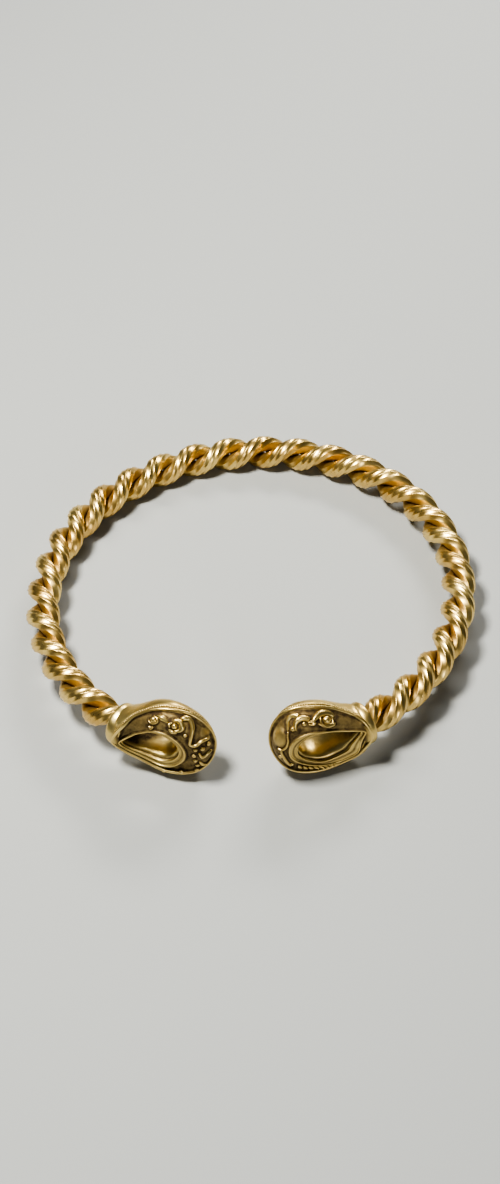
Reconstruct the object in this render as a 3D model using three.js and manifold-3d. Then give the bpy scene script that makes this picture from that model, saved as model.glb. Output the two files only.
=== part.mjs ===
import * as THREE from 'three';
import Module from 'manifold-3d';

// Celtic gold torc: a penannular neck ring of two faceted rods twisted together, each end held
// in a cast-on loop terminal with raised ornament. It lies on the undersides of both loops and
// on the back of the rope. Millimetres, +Z up, the opening faces -Y.

// Hoop and rope
const HOOP_RADIUS = 86.2;
const ROD_RADIUS = 3.35;
const ROD_GAP = 0.3;
const ROD_SIDES = 8;
const TWIST_PITCH = 31;
const STEPS_PER_TURN = 9;
const ROD_OFFSET = ROD_RADIUS + ROD_GAP / 2;

// Loop terminals, measured along the hoop from the free tip, and up from the rope axis
const TIP_ANGLE = 7.4;
const LOOP_LENGTH = 40;
const LOOP_HEIGHT = 33.8;
const LOOP_THICKNESS = 14.8;
const LOOP_INSET = 2.8;
const LOOP_SQUARENESS = 2.3;
const NECK_SHARPNESS = 0.68;
const HOLE_END = 36.4;
const HOLE_POINT = 1.6;
const LOOP_CENTRE = 21;
const LOOP_STEPS = 36;
const SECTION_STEPS = 12;

// Mouth of the socket: distance from the tip and radius of its lip round the rope
const LIP_PROFILE = [[36.4, 6.5], [37.6, 7.9], [38.6, 8.6], [40.6, 8.7], [41.6, 8]];
const LIP_SIDES = 14;
const SOCKET_END = 37.8;
const FIT_CLEARANCE = 0.3;

// Raised ornament
const RIM_RADIUS = 0.85;
const RIM_STEPS = 36;
const RIM_MOUTH = 39;
const RIM_MOUTH_RADIUS = 8.5;
const HOLE_RIM_ACROSS = 118;
const HOLE_RIM_RADIUS = 0.85;
const RIDGE_SIDES = 4;
const BOSS_SIDES = 6;
const BIG_BOSS = 1.9;
const SMALL_BOSS = 1.1;
const SCROLL_TUBE = 0.9;

// The two hand-shaped loops. Peak is where each half is tallest, neck its half height at the
// mouth, and bend how far the hole's point is bent up. The rim lists [turn, across] places on
// the loop, and lip the places round the rope where it crosses the lip. Bosses are
// [turn, across, size]; scrolls [turn, across, radius, start, sweep].
const LOOPS = {
  left: {
    side: -1,
    scale: 1,
    upper: { peak: 18.5, neck: 8 },
    lower: { peak: 18.5, neck: 8 },
    hole: { start: 15.5, peak: 21.5, half: 5.2, bend: -3.2 },
    rim: [[24, 74], [46, 32], [67, 18], [93, 6], [114, -2], [132, -8], [165, -8], [195, 4],
      [215, 40], [235, 68], [265, 78], [325, 82], [342, 86]],
    lip: [-36, -18, 0],
    bosses: [[82, 46, BIG_BOSS], [117, 52, 1.5], [77, 84, SMALL_BOSS], [168, 24, SMALL_BOSS],
      [170, 60, SMALL_BOSS], [190, 84, SMALL_BOSS], [205, 60, SMALL_BOSS]],
    scrolls: [[83, 48, 3.2, 225, -205], [101, 62, 3.4, -130, 100], [117, 52, 3.5, -100, 150],
      [128, 30, 3.4, -140, 190], [166, 42, 3.2, 130, 100]],
  },
  right: {
    side: 1,
    scale: 0.955,
    upper: { peak: 13.5, neck: 7.4 },
    lower: { peak: 23, neck: 11.5 },
    hole: { start: 12, peak: 19, half: 5.4, bend: 3.2 },
    rim: [[19, 54], [31, 18], [52, 4], [78, 0], [100, -2], [128, -12], [165, -16], [195, 0],
      [215, 36], [235, 62], [265, 72], [325, 74], [338, 78]],
    lip: [-25, 0, 25],
    bosses: [[80, 44, BIG_BOSS], [133, 52, SMALL_BOSS], [186, 60, SMALL_BOSS],
      [206, 84, SMALL_BOSS]],
    scrolls: [[80, 44, 4, 145, -290], [118, 50, 2.8, 35, -185], [128, 24, 2.7, 45, -200],
      [158, 50, 4, 165, -200]],
  },
};

// Resting pose: front raised on the taller loops, feet worn to small flats
const REST_TILT = 3.47;
const REST_TWIST = 270;
const FLAT_DEPTH = 0.35;

const wasm = await Module();
wasm.setup();

const radians = THREE.MathUtils.degToRad;
const TILT_AXIS = new THREE.Vector3(1, 0, 0);

// A point at a hoop angle from the opening, a radius and a height above the hoop's plane, with
// the hoop tilted to its resting pose.
function hoopPoint(angle, radius, height) {
  const point = new THREE.Vector3(radius * Math.sin(angle), -radius * Math.cos(angle), height);
  return point.applyAxisAngle(TILT_AXIS, -radians(REST_TILT));
}

// A closed solid through rings of points, either ring to ring all round or capped at both ends.
// Each four-cornered patch is split along its shorter diagonal.
function loft(rings, closed = false) {
  const count = rings[0].length;
  const points = rings.flat();
  const triangles = [];
  const spans = closed ? rings.length : rings.length - 1;
  for (let i = 0; i < spans; i += 1) {
    for (let j = 0; j < count; j += 1) {
      const a = i * count + j;
      const b = i * count + ((j + 1) % count);
      const c = ((i + 1) % rings.length) * count + ((j + 1) % count);
      const d = ((i + 1) % rings.length) * count + j;
      const short = points[a].distanceTo(points[c]) < points[b].distanceTo(points[d]);
      triangles.push(...(short ? [a, b, c, a, c, d] : [a, b, d, b, c, d]));
    }
  }
  if (!closed) {
    [0, rings.length - 1].forEach((end) => {
      const middle = new THREE.Vector3();
      rings[end].forEach((point) => middle.addScaledVector(point, 1 / count));
      points.push(middle);
      for (let j = 0; j < count; j += 1) {
        const a = end * count + j;
        const b = end * count + ((j + 1) % count);
        triangles.push(...(end ? [a, b, points.length - 1] : [b, a, points.length - 1]));
      }
    });
  }
  return solid(points, triangles);
}

// Points and triangles as a solid, turned outward whichever way round they were listed.
function solid(points, triangles) {
  let volume = 0;
  for (let i = 0; i < triangles.length; i += 3) {
    const [a, b, c] = [0, 1, 2].map((k) => points[triangles[i + k]]);
    volume += a.dot(b.clone().cross(c));
  }
  const order = volume < 0 ? triangles.slice().reverse() : triangles;
  const vertProperties = new Float32Array(points.flatMap((point) => point.toArray()));
  const triVerts = new Uint32Array(order);
  return new wasm.Manifold(new wasm.Mesh({ numProp: 3, vertProperties, triVerts }));
}

// The hoop angle at a distance from a loop's tip, before the loop's own scale is applied.
function loopAngle(distance, loop) {
  return loop.side * (radians(TIP_ANGLE) + (distance * loop.scale) / HOOP_RADIUS);
}

// One rod from seat to seat round the back of the hoop, wound left-handed round the rope axis.
// Its ends run on past the seats by the extra length.
function rod(phase, radius = ROD_RADIUS, offset = ROD_OFFSET, extra = 0) {
  const clear = FIT_CLEARANCE / HOOP_RADIUS;
  const first = loopAngle(SOCKET_END, LOOPS.right) + clear;
  const span = 2 * Math.PI + loopAngle(SOCKET_END, LOOPS.left) - clear - first;
  const steps = Math.ceil((span * HOOP_RADIUS * STEPS_PER_TURN) / TWIST_PITCH);
  const angles = Array.from({ length: steps + 1 }, (_, i) => first + (span * i) / steps);
  if (extra) {
    angles.unshift(first - extra / HOOP_RADIUS);
    angles.push(first + span + extra / HOOP_RADIUS);
  }
  const stretch = Math.hypot(1, (2 * Math.PI * ROD_OFFSET) / TWIST_PITCH);
  const corner = radius / Math.cos(Math.PI / ROD_SIDES);
  return loft(angles.map((angle) => {
    const twist = phase + (2 * Math.PI * (angle - Math.PI) * HOOP_RADIUS) / TWIST_PITCH;
    const ring = [];
    for (let j = 0; j < ROD_SIDES; j += 1) {
      const turn = (2 * Math.PI * (j + 0.5)) / ROD_SIDES;
      const out = offset + corner * Math.cos(turn);
      const across = corner * stretch * Math.sin(turn);
      const radial = out * Math.cos(twist) - across * Math.sin(twist);
      const height = out * Math.sin(twist) + across * Math.cos(twist);
      ring.push(hoopPoint(angle, HOOP_RADIUS + radial, height));
    }
    return ring;
  }));
}

// Half height of one half of the loop's outline at a distance from the tip.
function outerHalf(distance, { peak, neck }) {
  const top = LOOP_HEIGHT / 2;
  if (distance < 0 || distance > LOOP_LENGTH) {
    return 0;
  }
  if (distance < peak) {
    return top * Math.sqrt(1 - (1 - distance / peak) ** 2);
  }
  const fall = (distance - peak) / (LOOP_LENGTH - peak);
  const ease = (0.5 + 0.5 * Math.cos(Math.PI * fall)) ** NECK_SHARPNESS;
  return neck + (top - neck) * ease;
}

// Half height of the teardrop hole at a distance from the tip.
function holeHalf(distance, { start, peak, half }) {
  if (distance < start || distance > HOLE_END) {
    return 0;
  }
  if (distance < peak) {
    return half * Math.sqrt(1 - ((peak - distance) / (peak - start)) ** 2);
  }
  const fall = (distance - peak) / (HOLE_END - peak);
  return half * (1 - fall ** HOLE_POINT);
}

// How far a shape lies from the loop's centre in one direction.
function reach(turn, holds) {
  let near = 0;
  let far = LOOP_LENGTH;
  for (let i = 0; i < 40; i += 1) {
    const middle = (near + far) / 2;
    const inside = holds(LOOP_CENTRE + middle * Math.cos(turn), middle * Math.sin(turn));
    near = inside ? middle : near;
    far = inside ? far : middle;
  }
  return near;
}

// A point on the loop: turn goes round the hole from the mouth over the top, across goes over
// the limb from the outer edge (0) by the outward face (90) to the hole (180).
function loopPoint(turn, across, loop) {
  const hole = reach(turn, (distance, height) => {
    const share = Math.max(0, (distance - LOOP_CENTRE) / (HOLE_END - LOOP_CENTRE));
    return Math.abs(height - loop.hole.bend * share ** 2) < holeHalf(distance, loop.hole);
  });
  const edge = reach(turn, (distance, height) => {
    const half = outerHalf(distance, height > 0 ? loop.upper : loop.lower);
    return Math.abs(height) < half;
  });
  const power = 2 / LOOP_SQUARENESS;
  const over = Math.cos(across);
  const up = Math.sin(across);
  const share = 0.5 + 0.5 * Math.sign(over) * Math.abs(over) ** power;
  const rise = 0.5 * LOOP_THICKNESS * Math.sign(up) * Math.abs(up) ** power;
  const spread = hole + (edge - hole) * share;
  const distance = LOOP_CENTRE + spread * Math.cos(turn);
  const inset = LOOP_INSET * (1 - THREE.MathUtils.smoothstep(distance, 24, LOOP_LENGTH));
  const radius = HOOP_RADIUS + rise - inset;
  return hoopPoint(loopAngle(distance, loop), radius, spread * Math.sin(turn));
}

// The loop's surface at one place: point, directions along and across it, outward normal.
function loopFrame(turn, across, loop) {
  const step = 0.02;
  const point = loopPoint(turn, across, loop);
  const along = loopPoint(turn + step, across, loop).sub(loopPoint(turn - step, across, loop));
  const over = loopPoint(turn, across + step, loop).sub(loopPoint(turn, across - step, loop));
  const turnScale = along.length() / (2 * step);
  const acrossScale = over.length() / (2 * step);
  along.normalize();
  const normal = along.clone().cross(over).normalize().multiplyScalar(loop.side);
  return { point, along, normal, over: normal.clone().cross(along), turnScale, acrossScale };
}

// A point on the lip round the rope, and its outward normal; round is 0 on the outward side.
function lipFrame(distance, radius, round, loop) {
  const angle = loopAngle(distance, loop);
  const place = (size) => hoopPoint(angle, HOOP_RADIUS + size * Math.cos(round),
    size * Math.sin(round));
  return { point: place(radius), normal: place(1).sub(place(0)) };
}

// A raised ridge along places with a point and a normal, half sunk in the surface.
function ridge(place, radiusAt, steps, closed = false) {
  const rings = [];
  const count = closed ? steps : steps + 1;
  for (let i = 0; i < count; i += 1) {
    const share = i / steps;
    const { point, normal } = place(share);
    const heading = place(share + 0.01).point.clone().sub(point).normalize();
    const aside = normal.clone().cross(heading).normalize();
    const ring = [];
    for (let j = 0; j < RIDGE_SIDES; j += 1) {
      const angle = Math.PI / 2 + (2 * Math.PI * j) / RIDGE_SIDES;
      const corner = point.clone();
      corner.addScaledVector(aside, radiusAt(share) * Math.cos(angle));
      corner.addScaledVector(normal, radiusAt(share) * Math.sin(angle));
      ring.push(corner);
    }
    rings.push(ring);
  }
  return loft(rings, closed);
}

// The rim round the ornamented face: over the loop's edge, and across the lip at the mouth.
function rim(loop) {
  const mouth = loop.lip.map((round) => (
    lipFrame(RIM_MOUTH, RIM_MOUTH_RADIUS, radians(round), loop)));
  const limb = [];
  for (let i = 0; i < loop.rim.length - 1; i += 1) {
    const [start, end] = [loop.rim[i], loop.rim[i + 1]].map(([turn, across]) => (
      [radians(turn), radians(across)]));
    for (let k = 0; k < 2; k += 1) {
      const turn = THREE.MathUtils.lerp(start[0], end[0], k / 2);
      limb.push(loopFrame(turn, THREE.MathUtils.lerp(start[1], end[1], k / 2), loop));
    }
  }
  const frames = [...mouth, ...limb];
  const points = new THREE.CatmullRomCurve3(frames.map(({ point }) => point), true);
  const normals = new THREE.CatmullRomCurve3(frames.map(({ normal }) => normal), true);
  const place = (share) => ({
    point: points.getPoint(share % 1),
    normal: normals.getPoint(share % 1).normalize(),
  });
  return ridge(place, () => RIM_RADIUS, RIM_STEPS, true);
}

// A small dome on the loop.
function boss(turn, across, radius, loop) {
  const frame = loopFrame(radians(turn), radians(across), loop);
  const rings = [[1, -0.9], [0.95, 0.2]].map(([width, rise]) => {
    const ring = [];
    for (let j = 0; j < BOSS_SIDES; j += 1) {
      const angle = (2 * Math.PI * j) / BOSS_SIDES;
      const point = frame.point.clone();
      point.addScaledVector(frame.along, radius * width * Math.cos(angle));
      point.addScaledVector(frame.over, radius * width * Math.sin(angle));
      point.addScaledVector(frame.normal, radius * rise);
      ring.push(point);
    }
    return ring;
  });
  return loft(rings);
}

// A scroll: a ridge that swells to its middle and curls round a place on the loop.
function scroll(turn, across, radius, start, sweep, loop) {
  const frame = loopFrame(radians(turn), radians(across), loop);
  const place = (share) => {
    const angle = radians(start + sweep * share);
    const spread = radius * (1.15 - 0.3 * share);
    return loopFrame(
      radians(turn) + (spread * Math.cos(angle)) / frame.turnScale,
      radians(across) + (spread * Math.sin(angle)) / frame.acrossScale,
      loop,
    );
  };
  return ridge(place, (share) => SCROLL_TUBE * (0.5 + 0.6 * Math.sin(Math.PI * share)), 6);
}

// One loop terminal with its lip, its ornament and the hollow for the rods' ends.
function terminal(loop, hollow) {
  const point = Math.atan2(loop.hole.bend, HOLE_END - LOOP_CENTRE);
  const rings = [];
  for (let i = 0; i < LOOP_STEPS; i += 1) {
    const ring = [];
    for (let j = 0; j < SECTION_STEPS; j += 1) {
      const across = (2 * Math.PI * j) / SECTION_STEPS;
      ring.push(loopPoint(point + (2 * Math.PI * i) / LOOP_STEPS, across, loop));
    }
    rings.push(ring);
  }
  const lip = LIP_PROFILE.map(([distance, radius]) => {
    const ring = [];
    for (let j = 0; j < LIP_SIDES; j += 1) {
      ring.push(lipFrame(distance, radius, (2 * Math.PI * j) / LIP_SIDES, loop).point);
    }
    return ring;
  });
  const holeEdge = (share) => (
    loopFrame(point + 2 * Math.PI * share, radians(HOLE_RIM_ACROSS), loop));
  const parts = [
    loft(lip),
    rim(loop),
    ridge(holeEdge, () => HOLE_RIM_RADIUS, 27, true),
    ...loop.bosses.map(([turn, across, size]) => boss(turn, across, size, loop)),
    ...loop.scrolls.map((item) => scroll(...item, loop)),
  ];
  const body = parts.reduce((sum, part) => sum.add(part), loft(rings, true));
  return body.subtract(hollow);
}

// The lowest height a solid reaches.
function lowest(part) {
  const { vertProperties } = part.getMesh();
  let low = Infinity;
  for (let i = 2; i < vertProperties.length; i += 3) {
    low = Math.min(low, vertProperties[i]);
  }
  return low;
}

// Everything below a height, as a slab to cut the feet flat.
function slabBelow(height) {
  const half = 2 * HOOP_RADIUS;
  const corners = [[-half, -half], [half, -half], [half, half], [-half, half]];
  const depths = [height - half, height];
  return loft(depths.map((z) => corners.map(([x, y]) => new THREE.Vector3(x, y, z))));
}

// A solid as a named mesh with its own material.
function toMesh(part, name, material) {
  const { vertProperties, triVerts } = part.getMesh();
  const geometry = new THREE.BufferGeometry();
  geometry.setAttribute('position', new THREE.BufferAttribute(vertProperties, 3));
  geometry.setIndex(new THREE.BufferAttribute(triVerts, 1));
  const mesh = new THREE.Mesh(geometry, new THREE.MeshStandardMaterial(material));
  mesh.name = name;
  return mesh;
}

// The two rods, and the hollow their ends sit in with its clearance.
const phases = [radians(REST_TWIST), radians(REST_TWIST + 180)];
const rods = phases.map((phase) => rod(phase));
const hollow = phases.reduce(
  (sum, phase) => sum.add(rod(phase, ROD_RADIUS + FIT_CLEARANCE, ROD_OFFSET, FIT_CLEARANCE)),
  rod(phases[0], ROD_RADIUS / 2, 0, FIT_CLEARANCE),
);
const left = terminal(LOOPS.left, hollow);
const right = terminal(LOOPS.right, hollow);

// Laid on the ground and centred over the origin.
const ground = Math.min(lowest(left), lowest(right)) + FLAT_DEPTH;
const slab = slabBelow(ground);
const torc = new THREE.Group();
torc.name = 'celtic_gold_torc';
torc.add(
  toMesh(rods[0].subtract(slab), 'rod_a', { color: 0xcfae5c, roughness: 0.36, metalness: 1 }),
  toMesh(rods[1].subtract(slab), 'rod_b', { color: 0xcaa856, roughness: 0.36, metalness: 1 }),
  toMesh(left.subtract(slab), 'left_terminal', { color: 0xd6b968, roughness: 0.3, metalness: 1 }),
  toMesh(right.subtract(slab), 'right_terminal', { color: 0xd6b968, roughness: 0.3, metalness: 1 }),
);
const middle = new THREE.Box3().setFromObject(torc).getCenter(new THREE.Vector3());
torc.children.forEach((mesh) => mesh.geometry.translate(-middle.x, -middle.y, -ground));

export default torc;
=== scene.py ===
import math

import bpy
import numpy as np
from mathutils import Matrix, Vector


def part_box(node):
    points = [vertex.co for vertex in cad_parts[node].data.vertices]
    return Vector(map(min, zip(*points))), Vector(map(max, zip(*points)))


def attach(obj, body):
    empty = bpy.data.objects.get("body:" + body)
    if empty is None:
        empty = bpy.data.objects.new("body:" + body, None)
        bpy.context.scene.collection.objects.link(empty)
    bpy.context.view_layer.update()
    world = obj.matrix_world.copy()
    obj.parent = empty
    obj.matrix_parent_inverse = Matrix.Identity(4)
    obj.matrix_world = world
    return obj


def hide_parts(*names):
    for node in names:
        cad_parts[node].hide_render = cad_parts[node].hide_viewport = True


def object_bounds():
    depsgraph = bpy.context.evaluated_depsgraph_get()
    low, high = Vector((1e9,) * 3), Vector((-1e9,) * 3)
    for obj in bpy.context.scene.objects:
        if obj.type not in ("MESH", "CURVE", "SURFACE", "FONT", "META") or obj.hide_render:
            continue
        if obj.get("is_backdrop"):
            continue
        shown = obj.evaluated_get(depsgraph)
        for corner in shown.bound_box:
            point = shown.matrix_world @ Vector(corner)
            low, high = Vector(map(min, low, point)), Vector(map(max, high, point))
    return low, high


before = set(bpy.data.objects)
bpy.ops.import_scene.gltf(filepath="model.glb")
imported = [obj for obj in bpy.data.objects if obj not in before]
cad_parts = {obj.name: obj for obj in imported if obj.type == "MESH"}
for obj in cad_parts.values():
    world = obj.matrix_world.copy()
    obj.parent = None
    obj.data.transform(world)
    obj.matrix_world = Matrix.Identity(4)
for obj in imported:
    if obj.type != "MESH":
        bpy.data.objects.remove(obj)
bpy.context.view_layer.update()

# The celtic gold torc's looks: two twisted rods and two cast loop terminals, each a fine mesh on
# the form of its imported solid, with procedural worn gold. The shapes are worked out in
# millimetres in the hoop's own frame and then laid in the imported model's place.

SEED = 11
MM = 0.001

# The hoop, the rods and the loops, fitted to the solids, in mm and radians
HOOP_RADIUS = 86.2
ROD_RADIUS = 3.35
ROD_SIDES = 8
ROD_OFFSET = 3.5
TWIST_PITCH = 31.0
STEPS_PER_TURN = 9
REST_TILT = math.radians(3.47)
REST_TWIST = math.radians(270)
TIP_ANGLE = math.radians(7.4)
LOOP_LENGTH = 40.0
LOOP_HEIGHT = 33.8
LOOP_THICKNESS = 14.8
LOOP_INSET = 2.8
LOOP_SQUARENESS = 2.3
NECK_SHARPNESS = 0.68
HOLE_END = 36.4
HOLE_POINT = 1.6
LOOP_CENTRE = 21.0
SOCKET_END = 37.8
FIT_CLEARANCE = 0.3
RIM_MOUTH = 39.0
RIM_MOUTH_RADIUS = 8.5
NECK_RADIUS = 8.5

# The loop is set towards the hoop's centre up to INSET_START from the tip. Its outer edge and
# its hidden side swell to the neck's radius between NECK_START and NECK_FULL.
INSET_START = 24
NECK_START = 29
NECK_FULL = 38.5
NECK_BLEND = 0.3
HIDDEN_TURN = math.radians(75)
HIDDEN_RANGE = (-0.35, 0.3)

# The mouth's lip: distance from the tip, radius round the rope, and how much painted shade it gets
LIP = [(36.4, 6.6, 1.0), (37.0, 7.5, 0.7), (37.7, 8.2, 0.3), (38.6, 8.6, 0.1), (39.8, 8.75, 0.0),
       (40.8, 8.65, 0.0), (41.4, 8.3, 0.1), (41.6, 7.8, 0.4), (41.5, 7.2, 0.8), (41.2, 5.5, 1.0),
       (41.1, 0.02, 1.0)]

# Each loop's own shape and ornament. Places are (turn, across): degrees round the hole from the
# mouth over the top, and degrees over the limb from the outer edge by the outward face. Ridges
# are (places, half widths at the start, middle and end, height), bosses (turn, across, radius,
# height), rings (turn, across, radius) and lobes (turn, across, radius, height), all in mm.
LOOPS = {
    "left": {
        "side": -1,
        "scale": 1.0,
        "upper": (18.5, 8.0),
        "lower": (18.5, 8.0),
        "hole": (15.5, 21.5, 5.2, -3.2),
        "rim": [(24, 74), (46, 32), (67, 18), (93, 6), (114, -2), (132, -8), (165, -8), (195, 4),
                (215, 40), (235, 68), (265, 78), (325, 82), (342, 86)],
        "lip": (-36, 0),
        "hole_edge": [(0, 112), (24, 124), (72, 104), (107, 97), (137, 102), (163, 106),
                      (216, 106), (265, 97), (320, 100)],
        "hole_lip": [(10, 140), (40, 142), (100, 132), (165, 130), (230, 122), (290, 116),
                     (335, 118)],
        "ridges": [
            ([(75, 48), (77, 62), (84, 66), (90, 56), (89, 42), (82, 32)], (0.3, 0.6, 0.5), 0.9),
            ([(86, 32), (93, 32), (100, 38), (107, 47)], (0.5, 1.25, 0.5), 1.3),
            ([(73, 84), (78, 90), (84, 86)], (0.3, 0.8, 0.3), 0.9),
            ([(112, 32), (118, 26), (124, 34), (127, 48), (126, 62), (120, 74)],
             (0.7, 1.3, 0.4), 1.4),
            ([(112, 42), (109, 52), (112, 66)], (0.3, 0.6, 0.3), 0.9),
            ([(112, 74), (119, 80), (127, 76)], (0.3, 0.8, 0.3), 0.9),
            ([(119, 18), (126, 6), (132, 8), (138, 24), (142, 46), (148, 68), (156, 82), (161, 70),
              (159, 46), (161, 26), (164, 12)], (1.35, 0.65, 0.75), 1.4),
            ([(176, 72), (186, 62), (182, 40), (181, 18)], (0.4, 0.7, 0.5), 1.0),
            ([(196, 66), (204, 46), (206, 24)], (0.4, 0.7, 0.4), 0.9),
        ],
        "bosses": [
            (83, 47, 1.35, 1.3), (117, 52, 1.15, 1.25), (138, 68, 0.8, 0.7), (169, 24, 1.0, 1.0),
            (171, 54, 1.0, 1.0), (169, 78, 0.9, 0.9), (183, 86, 0.9, 0.8), (194, 80, 0.9, 0.9),
            (206, 62, 0.9, 0.9), (216, 48, 1.0, 1.0), (234, 72, 1.0, 1.0), (264, 78, 1.0, 1.0),
        ],
        "rings": [],
        "lobes": [(158, 8, 3.6, 0.5)],
    },
    "right": {
        "side": 1,
        "scale": 0.955,
        "upper": (13.5, 7.4),
        "lower": (23.0, 11.5),
        "hole": (12.0, 19.0, 5.4, 3.2),
        "rim": [(19, 54), (31, 18), (52, 4), (78, 0), (100, -2), (128, -12), (165, -16), (195, 0),
                (215, 36), (235, 62), (265, 72), (325, 74), (338, 78)],
        "lip": (-25, 25),
        "hole_edge": [(8, 100), (40, 104), (90, 104), (118, 96), (150, 90), (180, 97), (212, 107),
                      (242, 103), (279, 91), (307, 84), (340, 88)],
        "hole_lip": [(20, 128), (60, 134), (120, 132), (176, 128), (222, 124), (261, 112),
                     (300, 108), (335, 112)],
        "ridges": [
            ([(140, 46), (136, 30), (133, 14), (127, 6), (121, 10), (118, 20)],
             (0.4, 0.9, 1.3), 1.4),
            ([(131, 66), (128, 46), (123, 30), (116, 25), (110, 30), (107, 40)],
             (0.4, 1.35, 1.1), 1.5),
            ([(104, 52), (99, 36), (90, 20), (80, 15), (70, 20), (66, 32)], (0.5, 1.7, 0.7), 1.4),
            ([(97, 64), (89, 76), (78, 78), (69, 70), (68, 58)], (0.3, 1.0, 0.8), 1.1),
            ([(140, 48), (145, 60), (152, 76), (163, 82), (171, 70), (172, 44)],
             (0.4, 0.5, 0.4), 0.8),
            ([(112, 60), (106, 64), (102, 56), (106, 48), (111, 50)], (0.3, 0.7, 0.4), 0.8),
            ([(172, 64), (186, 76), (200, 74), (212, 62)], (0.4, 0.7, 0.4), 0.8),
            *[([(turn, 92), (turn + 5, 82), (turn + 11, 76)], (0.4, 0.8, 0.4), 0.9)
              for turn in range(216, 296, 10)],
        ],
        "bosses": [
            (80, 45, 1.75, 1.7), (133, 52, 1.05, 1.1), (116, 52, 0.9, 0.7), (186, 58, 0.9, 0.8),
            (206, 82, 0.8, 0.8),
        ],
        "rings": [(80, 45, 2.7)],
        "lobes": [(157, 32, 5.0, 1.0)],
    },
}

# The sunk face and the lines that stand on the loops, in mm or degrees over the limb. The face
# starts inside the rim, ends before the hole's edge, and fades where they leave it little room.
PANEL_DEPTH = 0.55
PANEL_HOLLOW = 0.7
PANEL_START = (2, 9)
PANEL_END = (7, 1)
PANEL_ROOM = (8, 30)
RIM_RADIUS = 0.72
RIM_STEP = 4.0
CORD_OUT = 11.0
CORD_RADIUS = 0.46
CORD_SPACING = 1.0
CORD_WAIST = 0.66
CORD_SWELL = 0.34
CORD_SINK = 0.16
LIP_MM_PER_DEGREE = 0.11
EDGE_RADIUS = 0.42
EDGE_SINK = 0.12
OUTER_LIFT = 1.25
INNER_LIFT = 1.0
RIDGE_TAPER = 0.06
RIDGE_END = 0.05
RING_WIDTH = 0.38
RING_HEIGHT = 0.5
DOME_LIFTS = (-35, 0, 10, 20, 30, 40, 50, 60, 70, 80, 88)
HIDDEN_LINE = -104
HIDDEN_LINE_APART = 8
HOLE_GROOVE = 10

# Patina and painted shade: shares from 0 to 1, and where they lie in mm, or in radians round or
# over the limb
FACE_SHADE = 0.78
STAND_SHADE = 0.55
STAND_REACH = 0.55
TUBE_SHADE = 0.85
DOME_SHADE = 0.9
BEAD_SHADE = 0.7
POCKET_TURN = 0.5
POCKET_BAND = (2.25, 2.7, 3.6, 4.2)
INNER_SHADE = 0.5
INNER_BAND = (2.9, 3.5, 4.4, 5.0)
MEETING_SHADE = 1.3
MEETING_REACH = 1.7
MOUTH_SHADE = 0.6
MOUTH_FROM_END = 3.0
MOUTH_REACH = 2.0
PATINA_UNEVEN = 0.10
PATINA_WAVE = 5

# Wear: where a rod's rings have points between facet corners, how much of each corner is left,
# and how uneven and dented the metal is
FACET_SHARES = (-0.5, -0.43, -0.2, 0.2, 0.43)
CORNER_LEFT = 0.92
WORN_OFF = 0.004
ROD_UNEVEN = 0.008
ROD_WAVE = 14
ROD_DENT = 0.008
DENT_WAVE = 3.5
DENT_RANGE = (0.15, 0.5)
SKIN_UNEVEN = 0.04
LIP_UNEVEN = 0.006
SKIN_WAVE = 6

# How finely meshes and tables are divided, and how often their corners are rounded
TABLE_SIZE = 2881
HALVINGS = 40
OUTLINE_PASSES = 1600
HOLE_PASSES = 200
LINE_STEPS = 400
SHADE_STEPS = 24
LOOP_ROWS = 350
FACE_COLUMNS = 122
BACK_COLUMNS = 48
FACE_START = -32
FACE_END = 150
ROD_ROWS = 1400
ROUTE_STEPS = 1200
ROUTE_PASSES = 500
RIM_ROWS = 420
BEAD_STEPS = 8
EDGE_ROWS = 360
EDGE_PASSES = 40
RIDGE_STEPS = 48
RING_STEPS = 40
DOME_SIDES = 20
LIP_ROWS = 60
LIP_COLUMNS = 120
LIP_KNOTS = 5
LIP_CLOSED = 0.02


def smooth(value, low, high):
    """0 below low, 1 above high, and an even curve between."""
    share = np.clip((value - low) / (high - low), 0, 1)
    return share * share * (3 - 2 * share)


def band(value, start, full, falling, end):
    """1 from full to falling, 0 outside start and end, and even curves between."""
    return smooth(value, start, full) * (1 - smooth(value, falling, end))


def full_turn(count):
    """Angles evenly spaced round a circle."""
    return 2 * math.pi * np.arange(count) / count


def unit(vectors):
    """Vectors made one long."""
    return vectors / np.maximum(np.linalg.norm(vectors, axis=-1, keepdims=True), 1e-9)


def uneven(points, seed, wavelength, count=9):
    """Gentle unevenness from -1 to 1 over points in space."""
    rng = np.random.default_rng(seed)
    total = np.zeros(points.shape[:-1])
    for _ in range(count):
        heading = unit(rng.normal(size=3)) * 2 * math.pi / (wavelength * rng.uniform(0.6, 1.6))
        total = total + np.sin(points @ heading + rng.uniform(0, 2 * math.pi))
    return total / count


def spline(knots, count, closed=False):
    """Values on a smooth curve through knots, in any number of coordinates."""
    knots = np.array(knots, dtype=float)
    if closed:
        ends = np.vstack([knots[-1:], knots, knots[:2]])
        spans = len(knots)
    else:
        ends = np.vstack([2 * knots[:1] - knots[1], knots, 2 * knots[-1:] - knots[-2]])
        spans = len(knots) - 1
    share = np.linspace(0, spans, count, endpoint=not closed)
    i = np.minimum(share.astype(int), spans - 1)
    t = (share - i)[:, None]
    a, b, c, d = ends[i], ends[i + 1], ends[i + 2], ends[i + 3]
    return 0.5 * (2 * b + (c - a) * t + (2 * a - 5 * b + 4 * c - d) * t ** 2
                  + (3 * b - a - 3 * c + d) * t ** 3)


def eased(track, passes):
    """A closed track with its corners rounded."""
    for _ in range(passes):
        track = (np.roll(track, 1, axis=0) + 2 * track + np.roll(track, -1, axis=0)) / 4
    return track


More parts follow.
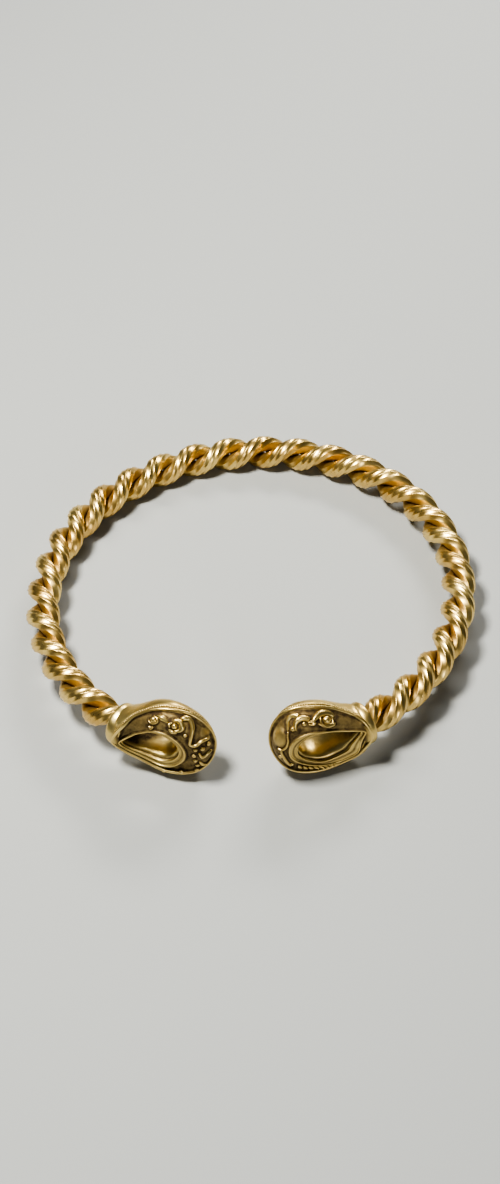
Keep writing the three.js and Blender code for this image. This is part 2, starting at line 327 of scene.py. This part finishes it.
def hoop(angle, radius, height):
    """Points at hoop angles, radii and heights, tilted to the resting pose, in mm."""
    x = radius * np.sin(angle)
    y = -radius * np.cos(angle)
    z = height + 0 * x
    lean, upright = math.sin(REST_TILT), math.cos(REST_TILT)
    return np.stack([x, y * upright + z * lean, z * upright - y * lean], -1)


def loop_angle(distance, loop):
    """The hoop angle at a distance from a loop's tip."""
    return loop["side"] * (TIP_ANGLE + distance * loop["scale"] / HOOP_RADIUS)


def grid_faces(rows, columns, wrap_rows=False, flip=False):
    """Quads over a grid whose columns join up, and whose rows do if asked."""
    i = np.arange(rows if wrap_rows else rows - 1)[:, None]
    j = np.arange(columns)[None, :]
    after_i = (i + 1) % rows
    after_j = (j + 1) % columns
    corners = [i * columns + j, i * columns + after_j, after_i * columns + after_j,
               after_i * columns + j]
    quads = np.stack(np.broadcast_arrays(*corners), -1).reshape(-1, 4)
    return quads[:, ::-1] if flip else quads


def make_piece(name, parts, material, node):
    """One mesh object from parts of (points in mm, faces, patina and painted shade per point),
    riding the body.
    """
    points, faces, patina_and_shade, base = [], [], [], 0
    for part_points, part_faces, part_patina_and_shade in parts:
        points.append(part_points.reshape(-1, 3) + PLACE)
        faces.append(part_faces + base)
        patina_and_shade.append(np.broadcast_to(part_patina_and_shade, part_points.shape[:-1]).reshape(-1))
        base += len(points[-1])
    points = np.concatenate(points)
    points[:, 2] = np.maximum(points[:, 2], 0)
    faces = np.concatenate(faces)
    mesh = bpy.data.meshes.new(name)
    mesh.vertices.add(len(points))
    mesh.vertices.foreach_set("co", (points * MM).astype(np.float32).ravel())
    mesh.loops.add(faces.size)
    mesh.loops.foreach_set("vertex_index", faces.astype(np.int32).ravel())
    mesh.polygons.add(len(faces))
    mesh.polygons.foreach_set("loop_start", np.arange(0, faces.size, 4, dtype=np.int32))
    mesh.polygons.foreach_set("use_smooth", np.ones(len(faces), dtype=bool))
    mesh.update(calc_edges=True)
    # this attribute holds patina together with painted shade, 0 to 1
    layer = mesh.attributes.new("patina_and_shade", "FLOAT", "POINT")
    layer.data.foreach_set("value", np.concatenate(patina_and_shade).astype(np.float32))
    mesh.materials.append(material)
    piece = bpy.data.objects.new(name, mesh)
    bpy.context.scene.collection.objects.link(piece)
    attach(piece, "root")
    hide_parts(node)


# ---------------------------------------------------------------- rods

FIRST = loop_angle(SOCKET_END, LOOPS["right"]) + FIT_CLEARANCE / HOOP_RADIUS
LAST = 2 * math.pi + loop_angle(SOCKET_END, LOOPS["left"]) - FIT_CLEARANCE / HOOP_RADIUS


def rod_points(phase, angles, turns, radius):
    """Rings of points round one rod, with the ring's own turn and radius given."""
    twist = phase + 2 * math.pi * (angles - math.pi) * HOOP_RADIUS / TWIST_PITCH
    stretch = math.hypot(1, 2 * math.pi * ROD_OFFSET / TWIST_PITCH)
    out = ROD_OFFSET + radius * np.cos(turns)
    across = radius * stretch * np.sin(turns)
    radial = out * np.cos(twist) - across * np.sin(twist)
    height = out * np.sin(twist) + across * np.cos(twist)
    return hoop(angles, HOOP_RADIUS + radial, height)


def packed_place():
    """Where the hoop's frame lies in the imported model: the solid rod's corners on its box."""
    steps = math.ceil((LAST - FIRST) * HOOP_RADIUS * STEPS_PER_TURN / TWIST_PITCH)
    angles = np.linspace(FIRST, LAST, steps + 1)[:, None]
    turns = (2 * math.pi * (np.arange(ROD_SIDES) + 0.5) / ROD_SIDES)[None, :]
    corner = ROD_RADIUS / math.cos(math.pi / ROD_SIDES)
    corners = rod_points(REST_TWIST, angles, turns, corner)
    return np.array(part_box("rod_a")[1]) / MM - corners.reshape(-1, 3).max(axis=0)


def rod_part(phase, seed):
    """A fine rod: soft facets along the strand, slight unevenness, painted shade where the rods
    meet and at the mouths.
    """
    angles = np.linspace(FIRST, LAST, ROD_ROWS)[:, None]
    side = 2 * math.pi / ROD_SIDES
    face = np.tile(side * np.array(FACET_SHARES), ROD_SIDES)[None, :]
    turns = face + side * np.repeat(np.arange(ROD_SIDES), len(FACET_SHARES))[None, :]
    base = rod_points(phase, angles, turns, ROD_RADIUS)
    radius = ROD_RADIUS * (1 + CORNER_LEFT * (1 / np.cos(face) - 1) - WORN_OFF)
    radius = radius * (1 + ROD_UNEVEN * uneven(base, seed + 1, ROD_WAVE))
    radius = radius * (1 - ROD_DENT * smooth(uneven(base, seed + 2, DENT_WAVE), *DENT_RANGE))
    points = rod_points(phase, angles, turns, radius)
    gap = np.hypot(2 * ROD_OFFSET + radius * np.cos(turns), radius * np.sin(turns)) - ROD_RADIUS
    ends = np.minimum(angles - FIRST, LAST - angles) * HOOP_RADIUS
    # painted shade where the rods meet and where they run into the mouths, then a little uneven
    # patina
    patina_and_shade = MEETING_SHADE * np.exp(-gap / MEETING_REACH)
    patina_and_shade = patina_and_shade + MOUTH_SHADE * np.exp(-((ends - MOUTH_FROM_END) / MOUTH_REACH) ** 2)
    patina_and_shade = np.clip(patina_and_shade + PATINA_UNEVEN * uneven(base, seed + 3, PATINA_WAVE), 0, 1)
    return points, grid_faces(*points.shape[:2]), patina_and_shade


# ---------------------------------------------------------------- terminals

TABLE_TURNS = np.linspace(0, 2 * math.pi, TABLE_SIZE)


def outer_half(distance, half):
    """Half height of one half of a loop's outline at distances from the tip."""
    peak, neck = half
    top = LOOP_HEIGHT / 2
    front = top * np.sqrt(np.clip(1 - (1 - distance / peak) ** 2, 0, 1))
    fall = np.clip((distance - peak) / (LOOP_LENGTH - peak), 0, 1)
    ease = np.clip(0.5 + 0.5 * np.cos(math.pi * fall), 0, 1) ** NECK_SHARPNESS
    half = np.where(distance < peak, front, neck + (top - neck) * ease)
    return np.where((distance < 0) | (distance > LOOP_LENGTH), 0, half)


def hole_half(distance, hole):
    """Half height of a teardrop hole at distances from the tip."""
    start, peak, widest, _ = hole
    rise = np.clip((peak - distance) / (peak - start), 0, 1)
    fall = np.clip((distance - peak) / (HOLE_END - peak), 0, 1)
    front = widest * np.sqrt(1 - rise ** 2)
    half = np.where(distance < peak, front, widest * (1 - fall ** HOLE_POINT))
    return np.where((distance < start) | (distance > HOLE_END), 0, half)


def reach(holds):
    """How far a shape lies from the loop's centre, all the way round."""
    near = np.zeros_like(TABLE_TURNS)
    far = np.full_like(TABLE_TURNS, LOOP_LENGTH)
    for _ in range(HALVINGS):
        middle = (near + far) / 2
        inside = holds(LOOP_CENTRE + middle * np.cos(TABLE_TURNS), middle * np.sin(TABLE_TURNS))
        near = np.where(inside, middle, near)
        far = np.where(inside, far, middle)
    return near


def add_tables(loop):
    """Adds how far the loop's edge and its hole lie from its centre."""
    def in_edge(distance, height):
        upper = outer_half(distance, loop["upper"])
        lower = outer_half(distance, loop["lower"])
        return np.abs(height) < np.where(height > 0, upper, lower)

    def in_hole(distance, height):
        share = np.maximum(0, (distance - LOOP_CENTRE) / (HOLE_END - LOOP_CENTRE))
        bend = loop["hole"][3] * share ** 2
        return np.abs(height - bend) < hole_half(distance, loop["hole"])

    for key, holds, passes in (("edge_table", in_edge, OUTLINE_PASSES),
                               ("hole_table", in_hole, HOLE_PASSES)):
        table = eased(reach(holds)[:-1], passes)
        loop[key] = np.append(table, table[0])


def loop_points(turn, across, loop):
    """Points on a loop, in radians round the hole and over the limb."""
    turn, across = np.broadcast_arrays(turn % (2 * math.pi), across)
    hole = np.interp(turn, TABLE_TURNS, loop["hole_table"])
    edge = np.interp(turn, TABLE_TURNS, loop["edge_table"])
    power = 2 / LOOP_SQUARENESS
    over, up = np.cos(across), np.sin(across)
    share = 0.5 + 0.5 * np.sign(over) * np.abs(over) ** power
    rise = 0.5 * LOOP_THICKNESS * np.sign(up) * np.abs(up) ** power
    spread = hole + (edge - hole) * share
    distance = LOOP_CENTRE + spread * np.cos(turn)
    out = rise - LOOP_INSET * (1 - smooth(distance, INSET_START, LOOP_LENGTH))
    height = spread * np.sin(turn)
    # the outer edge and the hidden side run up smoothly into the lip
    hidden = smooth(np.cos(across + HIDDEN_TURN), *HIDDEN_RANGE)
    size = np.maximum(np.hypot(out, height), 0.1)
    short = NECK_RADIUS * smooth(distance, NECK_START, NECK_FULL) - size
    grown = 1 + hidden * 0.5 * (short + np.sqrt(short ** 2 + NECK_BLEND)) / size
    return hoop(loop_angle(distance, loop), HOOP_RADIUS + out * grown, height * grown)


def loop_normals(turn, across, loop):
    """Outward normals of a loop."""
    step = 0.015
    along = loop_points(turn + step, across, loop) - loop_points(turn - step, across, loop)
    over = loop_points(turn, across + step, loop) - loop_points(turn, across - step, loop)
    return unit(np.cross(along, over) * loop["side"])


def lip_points(distance, radius, around, loop):
    """Points round the rope near the mouth; around is 0 on the outward side."""
    angle = loop_angle(distance, loop)
    return hoop(angle, HOOP_RADIUS + radius * np.cos(around), radius * np.sin(around))


def line_across(places, turn):
    """How far over the limb a closed line of places lies at any turn, in degrees."""
    (first, first_across), (last, last_across) = places[0], places[-1]
    knots = [(last - 360, last_across), *places, (first + 360, first_across)]
    track = spline(knots, LINE_STEPS)
    return np.interp(turn % 360, track[:, 0], track[:, 1])


def face_lines(turn, loop):
    """Where the rim, the hole's edge and the hole's inner lip lie at a turn, in degrees."""
    degrees = np.degrees(turn)
    return [line_across(loop[key], degrees) for key in ("rim", "hole_edge", "hole_lip")]


def over_limb(across):
    """Radians over the limb as degrees from -180 to 180."""
    return (np.degrees(across) + 180) % 360 - 180


def panel(turn, across, loop):
    """How deep the ornamented face lies below the loop's form in mm, and its mask."""
    rim, edge, _ = face_lines(turn, loop)
    over = over_limb(across)
    share = np.clip((over - rim) / np.maximum(edge - rim, 1), 0, 1)
    mask = band(over, rim + PANEL_START[0], rim + PANEL_START[1], edge - PANEL_END[0],
                edge - PANEL_END[1])
    mask = mask * smooth(edge - rim, *PANEL_ROOM)
    return mask * (PANEL_DEPTH + PANEL_HOLLOW * np.sin(math.pi * share)), mask


def on_face(places, loop):
    """Points and normals on the sunk face at places of (turn, across) in degrees."""
    turn, across = np.radians(places[:, 0]), np.radians(places[:, 1])
    normal = loop_normals(turn, across, loop)
    depth, _ = panel(turn, across, loop)
    return loop_points(turn, across, loop) - normal * depth[:, None], normal


def spot_on_face(turn, across, loop):
    """The point and the normal of one place on the sunk face, in degrees."""
    centre, normal = on_face(np.array([[turn, across]], dtype=float), loop)
    return centre[0], normal[0]


def relief(turn, across, loop):
    """Height of a loop's skin over its form in mm, and its patina and painted shade, 0 to 1."""
    rim, edge, inner = face_lines(turn, loop)
    over = over_limb(across)
    depth, mask = panel(turn, across, loop)

    def line(centre, width, rise):
        return rise * np.exp(-((over - centre) / width) ** 2)

    cord, between, groove = rim - CORD_OUT, (edge + inner) / 2, inner + HOLE_GROOVE
    # each line's centre and half width in degrees over the limb, and its rise in mm; the last
    # three are the plain double line along the hidden side
    height = -depth
    for centre, width, rise in ((cord, 4.5, -0.30), (between, 6, -0.30), (groove, 5, -0.5),
                                (HIDDEN_LINE + HIDDEN_LINE_APART, 3, 0.2),
                                (HIDDEN_LINE, 4, -0.3),
                                (HIDDEN_LINE - HIDDEN_LINE_APART, 3, 0.2)):
        height = height + line(centre, width, rise)
    # patina and painted shade over the sunk face and in the grooves along the lines, as a share in
    # place of a rise
    patina_and_shade = FACE_SHADE * mask
    for centre, width, share in ((cord + 3, 3.5, 0.75), (rim + 7.5, 3.5, 0.85),
                                 (cord - 6, 2.5, 0.5), (edge - 4, 3, 0.6), (between, 5, 0.7),
                                 (groove, 5, 0.95), (HIDDEN_LINE, 3, 0.6)):
        patina_and_shade = patina_and_shade + line(centre, width, share)

    points = loop_points(turn, across, loop)
    raised = np.zeros(height.shape)
    for place_turn, place_across, radius, rise in loop["lobes"]:
        centre = loop_points(np.radians(place_turn), np.radians(place_across), loop)
        share = np.clip(np.linalg.norm(points - centre, axis=-1) / radius, 0, 1)
        raised = np.maximum(raised, rise * (1 - share ** 2) ** 0.8)
        patina_and_shade = patina_and_shade * (1 - 0.6 * (1 - smooth(share, 0.6, 1.0)) * mask)

    # patina and painted shade gather close round everything that stands on the face
    stands = [(spline(places, SHADE_STEPS), max(widths)) for places, widths, _ in loop["ridges"]]
    stands += [(np.array([boss[:2]], dtype=float), boss[2]) for boss in loop["bosses"]]
    shade = np.zeros(height.shape)
    for places, width in stands:
        track = loop_points(np.radians(places[:, 0]), np.radians(places[:, 1]), loop)
        near = np.full(height.shape, np.inf)
        for centre in track:
            near = np.minimum(near, ((points - centre) ** 2).sum(axis=-1))
        shade = np.maximum(shade, np.exp(-((np.sqrt(near) - width) / STAND_REACH) ** 2))
    return height + raised, np.clip(patina_and_shade + STAND_SHADE * shade * mask, 0, 1)


def even_turns(count, loop):
    """Turns evenly spaced along the limb's middle line."""
    middle = (loop["edge_table"] + loop["hole_table"]) / 2
    x, y = middle * np.cos(TABLE_TURNS), middle * np.sin(TABLE_TURNS)
    run = np.concatenate([[0], np.cumsum(np.hypot(np.diff(x), np.diff(y)))])
    return np.interp(np.arange(count) / count * run[-1], run, TABLE_TURNS)


def loop_part(loop):
    """The loop's skin with its low relief, finer over the ornamented face."""
    turn = even_turns(LOOP_ROWS, loop)[:, None]
    face = np.linspace(FACE_START, FACE_END, FACE_COLUMNS, endpoint=False)
    back = np.linspace(FACE_END, FACE_START + 360, BACK_COLUMNS, endpoint=False)
    across = np.radians(np.concatenate([face, back]))[None, :]
    turn, across = np.broadcast_arrays(turn, across)
    height, patina_and_shade = relief(turn, across, loop)
    # painted shade: the hole's point runs on as a dark pocket towards the mouth, and the limb's
    # inner side is darkened
    point = math.atan2(loop["hole"][3], HOLE_END - LOOP_CENTRE)
    local = (turn - point + math.pi) % (2 * math.pi) - math.pi
    pocket = np.exp(-(local / POCKET_TURN) ** 2) * band(across, *POCKET_BAND)
    inner = INNER_SHADE * band(across, *INNER_BAND)
    patina_and_shade = np.clip(np.maximum(patina_and_shade, pocket) + inner, 0, 1)
    points = loop_points(turn, across, loop)
    height = height + SKIN_UNEVEN * uneven(points, SEED + 40, SKIN_WAVE)
    points = points + loop_normals(turn, across, loop) * height[..., None]
    rows, columns = height.shape
    return points, grid_faces(rows, columns, True, flip=loop["side"] < 0), patina_and_shade


def tube(centre, normal, width, height, closed=False, sides=10):
    """A ridge along centres: an oval section as wide and high as given at each."""
    if closed:
        ahead = np.roll(centre, -1, axis=0) - np.roll(centre, 1, axis=0)
    else:
        ahead = np.gradient(centre, axis=0)
    aside = unit(np.cross(unit(ahead), normal))[:, None]
    width = np.broadcast_to(width, len(centre))[:, None, None]
    height = np.broadcast_to(height, len(centre))[:, None, None]
    turns = full_turn(sides)[None, :, None]
    points = centre[:, None] + width * np.cos(turns) * aside
    points = points + height * np.sin(turns) * normal[:, None]
    # painted shade at the ridge's foot and lower flanks, fading to a clean top
    shade = TUBE_SHADE * (1 - smooth(np.sin(turns[..., 0]), 0.0, 0.55))
    return points, grid_faces(len(centre), sides, closed, flip=True), shade


def square_to(normal):
    """Two directions square to a normal and to each other."""
    first = unit(np.cross(normal, [0.0, 0.0, 1.0]))
    return first, np.cross(normal, first)


def dome(centre, normal, radius, rise):
    """A rounded boss standing on a point of the face."""
    side_a, side_b = square_to(normal)
    lift = np.radians(DOME_LIFTS)[:, None, None]
    turns = full_turn(DOME_SIDES)[None, :, None]
    flat = np.cos(lift) * (np.cos(turns) * side_a + np.sin(turns) * side_b)
    points = centre + radius * flat + rise * np.sin(lift) * normal
    # painted shade at the boss's foot, fading towards its top
    shade = DOME_SHADE * (1 - smooth(np.sin(lift[..., 0]), 0.05, 0.45))
    return points, grid_faces(*points.shape[:2]), shade


def rim_path(loop, outward, count):
    """The rim's closed route over the loop and the lip, moved outward by some degrees."""
    turns = np.arange(loop["rim"][0][0], loop["rim"][-1][0] + 1, RIM_STEP)
    turn = np.radians(turns)
    across = np.radians(line_across(loop["rim"], turns) - outward)
    distance = RIM_MOUTH + LIP_MM_PER_DEGREE * outward
    around = np.radians(np.linspace(*loop["lip"], LIP_KNOTS))
    lip = lip_points(distance, RIM_MOUTH_RADIUS, around, loop)
    lip_normal = unit(lip - lip_points(distance, 0.0, around, loop))
    points = np.vstack([lip, loop_points(turn, across, loop)])
    normals = np.vstack([lip_normal, loop_normals(turn, across, loop)])
    route = spline(np.hstack([points, normals]), ROUTE_STEPS, closed=True)
    route = eased(route, ROUTE_PASSES)
    route = np.vstack([route, route[:1]])
    steps = np.linalg.norm(np.diff(route[:, :3], axis=0), axis=1)
    run = np.concatenate([[0], np.cumsum(steps)])
    even = np.linspace(0, run[-1], count, endpoint=False)
    route = np.stack([np.interp(even, run, route[:, k]) for k in range(6)], -1)
    return route[:, :3], unit(route[:, 3:]), even, run[-1]


def rim_parts(loop):
    """The plain ridge of the rim, and the fine cord that runs outside it."""
    centre, normal, _, _ = rim_path(loop, 0.0, RIM_ROWS)
    plain = tube(centre, normal, RIM_RADIUS, RIM_RADIUS, closed=True)
    length = rim_path(loop, CORD_OUT, RIM_ROWS)[3]
    beads = round(length / CORD_SPACING)
    centre, normal, run, length = rim_path(loop, CORD_OUT, BEAD_STEPS * beads)
    swell = np.abs(np.sin(math.pi * beads * run / length))
    radius = CORD_RADIUS * (CORD_WAIST + CORD_SWELL * swell ** 0.7)
    sunk = centre - CORD_SINK * normal
    points, faces, patina_and_shade = tube(sunk, normal, radius, radius, True, sides=8)
    # painted shade in the waists between the cord's beads, over the tube's own foot shade
    return [plain, (points, faces, np.clip(patina_and_shade + BEAD_SHADE * (1 - swell[:, None]), 0, 1))]


def edge_parts(loop):
    """The double ridge round the hole."""
    turn = even_turns(EDGE_ROWS, loop)
    _, edge, inner = face_lines(turn, loop)
    parts = []
    for line, lift in ((edge, OUTER_LIFT), (inner, INNER_LIFT)):
        normal = loop_normals(turn, np.radians(line), loop)
        centre = loop_points(turn, np.radians(line), loop) - EDGE_SINK * normal
        centre = eased(centre, EDGE_PASSES)
        normal = unit(eased(normal, EDGE_PASSES))
        parts.append(tube(centre, normal, EDGE_RADIUS, EDGE_RADIUS * lift, True, sides=8))
    return parts


def ornament_parts(loop):
    """The scrolls, bosses and rings that stand on the face."""
    parts = []
    for places, widths, rise in loop["ridges"]:
        share = np.linspace(0, 1, RIDGE_STEPS)
        centre, normal = on_face(spline(places, RIDGE_STEPS), loop)
        rounding = np.sqrt(np.clip(np.minimum(share, 1 - share) / RIDGE_TAPER, 0, 1))
        width = np.interp(share, [0, 0.5, 1], widths)
        width = width * (RIDGE_END + (1 - RIDGE_END) * rounding)
        height = rise * (width / max(widths)) ** 0.6
        parts.append(tube(centre, normal, width, height, sides=12))
    for place_turn, place_across, radius, rise in loop["bosses"]:
        centre, normal = spot_on_face(place_turn, place_across, loop)
        parts.append(dome(centre, normal, radius, rise))
    for place_turn, place_across, radius in loop["rings"]:
        centre, normal = spot_on_face(place_turn, place_across, loop)
        side_a, side_b = square_to(normal)
        turns = full_turn(RING_STEPS)[:, None]
        ring = centre + radius * (np.cos(turns) * side_a + np.sin(turns) * side_b)
        normals = np.broadcast_to(normal, ring.shape)
        parts.append(tube(ring, normals, RING_WIDTH, RING_HEIGHT, True, sides=8))
    return parts


def lip_part(loop):
    """The mouth's lip, closed round the rods."""
    # the lip's third column is painted shade, darkest where the lip turns in towards the rods
    distance, radius, shade = spline(LIP, LIP_ROWS).T[..., None]
    turns = full_turn(LIP_COLUMNS)[None, :]
    radius = np.maximum(radius, LIP_CLOSED)
    base = lip_points(distance, radius, turns, loop)
    radius = radius * (1 + LIP_UNEVEN * uneven(base, SEED + 60, SKIN_WAVE))
    points = lip_points(distance, radius, turns, loop)
    faces = grid_faces(LIP_ROWS, LIP_COLUMNS, flip=loop["side"] > 0)
    return points, faces, np.clip(shade, 0, 1)


# ---------------------------------------------------------------- worn gold

# How fine the gold's patterns are, per metre, and how deep its dents and grain, in metres
TONE_SCALE = 60
MOTTLE_SCALE = 420
DENT_SCALE = 520
GRAIN_SCALE = 2600
DENT_DEPTH = 0.00022
GRAIN_DEPTH = 0.00004


def gold(name, bright, deep, patina, polish, hammer):
    """Worn gold: a per-point attribute lays on dark patina and painted shade, edges stay polished.
    """
    material = bpy.data.materials.new(name)
    material.use_nodes = True
    nodes, links = material.node_tree.nodes, material.node_tree.links
    nodes.clear()

    def noise(scale, detail, rough):
        made = nodes.new("ShaderNodeTexNoise")
        made.inputs["Scale"].default_value = scale
        made.inputs["Detail"].default_value = detail
        made.inputs["Roughness"].default_value = rough
        links.new(place.outputs["Object"], made.inputs["Vector"])
        return made.outputs["Fac"]

    def ranged(value, low, high, out_low, out_high):
        made = nodes.new("ShaderNodeMapRange")
        for key, number in zip(("From Min", "From Max", "To Min", "To Max"),
                               (low, high, out_low, out_high)):
            made.inputs[key].default_value = number
        links.new(value, made.inputs["Value"])
        return made.outputs["Result"]

    def combined(operation, first, second):
        made = nodes.new("ShaderNodeMath")
        made.operation = operation
        made.use_clamp = operation == "ADD"
        for socket, value in zip(made.inputs, (first, second)):
            if isinstance(value, float):
                socket.default_value = value
            else:
                links.new(value, socket)
        return made.outputs["Value"]

    # a colour mix has its factor in socket 0, its colours in 6 and 7, and its result in 2
    def mixed(factor, first, second):
        made = nodes.new("ShaderNodeMix")
        made.data_type = "RGBA"
        links.new(factor, made.inputs[0])
        for socket, value in ((made.inputs[6], first), (made.inputs[7], second)):
            if isinstance(value, tuple):
                socket.default_value = (*value, 1)
            else:
                links.new(value, socket)
        return made.outputs[2]

    def bumped(height, strength, distance, under=None):
        made = nodes.new("ShaderNodeBump")
        made.inputs["Strength"].default_value = strength
        made.inputs["Distance"].default_value = distance
        links.new(height, made.inputs["Height"])
        if under:
            links.new(under, made.inputs["Normal"])
        return made.outputs["Normal"]

    place = nodes.new("ShaderNodeTexCoord")
    attribute = nodes.new("ShaderNodeAttribute")
    attribute.attribute_name = "patina_and_shade"
    patina_and_shade = attribute.outputs["Fac"]
    mottle = noise(MOTTLE_SCALE, 5, 0.6)
    grain = noise(GRAIN_SCALE, 3, 0.6)
    tone = mixed(ranged(noise(TONE_SCALE, 4, 0.55), 0.35, 0.65, 0, 1), bright, deep)
    # the attribute's patina and painted shade, mottled, with a few specks of real dirt on top; it
    # darkens the colour, roughens and dulls the metal
    mottled_patina_and_shade = combined("MULTIPLY", patina_and_shade, ranged(mottle, 0.3, 0.7, 0.75, 1.15))
    dirt_patina_and_shade = combined("ADD", mottled_patina_and_shade, ranged(mottle, 0.62, 0.72, 0, 0.12))
    rough = combined("ADD", ranged(grain, 0.3, 0.7, polish, polish + 0.12),
                     ranged(dirt_patina_and_shade, 0, 1, 0, 0.34))
    dents = nodes.new("ShaderNodeTexVoronoi")
    dents.feature = "SMOOTH_F1"
    dents.inputs["Scale"].default_value = DENT_SCALE
    links.new(place.outputs["Object"], dents.inputs["Vector"])
    beaten = combined("ADD", combined("MULTIPLY", dents.outputs["Distance"], 0.5),
                      combined("MULTIPLY", mottle, 0.55))
    coarse = bumped(beaten, hammer, DENT_DEPTH)
    surface = nodes.new("ShaderNodeBsdfPrincipled")
    # the dark colour is the patina's, and it also paints the shade
    links.new(mixed(dirt_patina_and_shade, tone, patina), surface.inputs["Base Color"])
    links.new(rough, surface.inputs["Roughness"])
    links.new(ranged(dirt_patina_and_shade, 0, 1, 1.0, 0.75), surface.inputs["Metallic"])
    links.new(bumped(grain, 0.25, GRAIN_DEPTH, coarse), surface.inputs["Normal"])
    output = nodes.new("ShaderNodeOutputMaterial")
    links.new(surface.outputs["BSDF"], output.inputs["Surface"])
    return material


PLACE = packed_place()
# each gold's third colour is its patina, also the colour of its painted shade
ROD_GOLD = gold("rod_gold", (0.90, 0.68, 0.28), (0.70, 0.47, 0.17), (0.10, 0.04, 0.018), 0.25,
                0.35)
CAST_GOLD = gold("cast_gold", (0.88, 0.69, 0.30), (0.66, 0.48, 0.19), (0.085, 0.055, 0.028), 0.29,
                 0.5)

make_piece("rod_a_fine", [rod_part(REST_TWIST, SEED)], ROD_GOLD, "rod_a")
make_piece("rod_b_fine", [rod_part(REST_TWIST + math.pi, SEED + 20)], ROD_GOLD, "rod_b")
for label, shape in LOOPS.items():
    add_tables(shape)
    parts = [loop_part(shape), lip_part(shape), *rim_parts(shape), *edge_parts(shape),
             *ornament_parts(shape)]
    make_piece(f"{label}_terminal_fine", parts, CAST_GOLD, f"{label}_terminal")


# ---------------------------------------------------------------- studio


def studio_floor():
    """A wide pale floor with a little tone in it."""
    bpy.ops.mesh.primitive_plane_add(size=8, location=(0, 1.5, 0))
    floor = bpy.context.object
    floor.name = "studio_floor"
    material = bpy.data.materials.new("floor_paper")
    material.use_nodes = True
    nodes, links = material.node_tree.nodes, material.node_tree.links
    surface = nodes["Principled BSDF"]
    tone = nodes.new("ShaderNodeTexNoise")
    tone.inputs["Scale"].default_value = 3
    ramp = nodes.new("ShaderNodeValToRGB")
    ramp.color_ramp.elements[0].color = (0.40, 0.41, 0.41, 1)
    ramp.color_ramp.elements[1].color = (0.44, 0.45, 0.45, 1)
    links.new(tone.outputs["Fac"], ramp.inputs["Fac"])
    links.new(ramp.outputs["Color"], surface.inputs["Base Color"])
    surface.inputs["Roughness"].default_value = 0.8
    floor.data.materials.append(material)
    floor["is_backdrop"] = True


def soft_box(name, place, target, size, power, colour):
    """A rectangular soft light aimed at a point."""
    data = bpy.data.lights.new(name, "AREA")
    data.shape = "RECTANGLE"
    data.size, data.size_y = size
    data.energy = power
    data.color = colour
    light = bpy.data.objects.new(name, data)
    light.location = place
    light.rotation_euler = (Vector(target) - Vector(place)).to_track_quat("-Z", "Y").to_euler()
    bpy.context.scene.collection.objects.link(light)


studio_floor()
low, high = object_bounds()
middle = (low + high) / 2
soft_box("key_light", (-0.30, -0.05, 0.95), middle, (0.22, 0.22), 14, (1.0, 0.98, 0.90))
soft_box("back_light", (0.25, 0.75, 0.55), middle, (0.5, 0.15), 5, (1.0, 0.98, 0.92))
soft_box("front_light", (0.35, -0.9, 0.35), middle, (0.15, 0.3), 1.6, (0.95, 0.97, 1.0))

world = bpy.data.worlds.new("studio")
bpy.context.scene.world = world
world.use_nodes = True
sky = world.node_tree.nodes["Background"]
sky.inputs["Color"].default_value = (0.72, 0.80, 0.82, 1)
sky.inputs["Strength"].default_value = 0.07

# The camera looks down at the hoop's centre: turned to the right, lifted, and rolled a little
VIEW_TURN = math.radians(5.3)
VIEW_LIFT = math.radians(45.5)
VIEW_ROLL = math.radians(4.66)
VIEW_DISTANCE = 0.945
LENS = 69.3
SENSOR_WIDTH = 36

centre = Vector((hoop(0.0, 0.0, 0.0) + PLACE).tolist()) * MM
level = math.cos(VIEW_LIFT)
back = np.array([math.sin(VIEW_TURN) * level, -math.cos(VIEW_TURN) * level, math.sin(VIEW_LIFT)])
right = np.array([math.cos(VIEW_TURN), math.sin(VIEW_TURN), 0.0])
up = np.cross(back, right)
right, up = (
    math.cos(VIEW_ROLL) * right - math.sin(VIEW_ROLL) * up,
    math.sin(VIEW_ROLL) * right + math.cos(VIEW_ROLL) * up,
)
lay = np.array(Matrix.Rotation(-REST_TILT, 3, "X"))
axes = Matrix([list(lay @ right), list(lay @ up), list(lay @ back)]).transposed()
camera_data = bpy.data.cameras.new("camera")
camera_data.sensor_width = SENSOR_WIDTH
camera_data.lens = LENS
camera = bpy.data.objects.new("camera", camera_data)
camera.matrix_world = Matrix.Translation(centre + axes.col[2] * VIEW_DISTANCE) @ axes.to_4x4()
bpy.context.scene.collection.objects.link(camera)
bpy.context.scene.camera = camera
bpy.context.scene.view_settings.view_transform = "AgX"
bpy.context.scene.view_settings.look = "AgX - High Contrast"
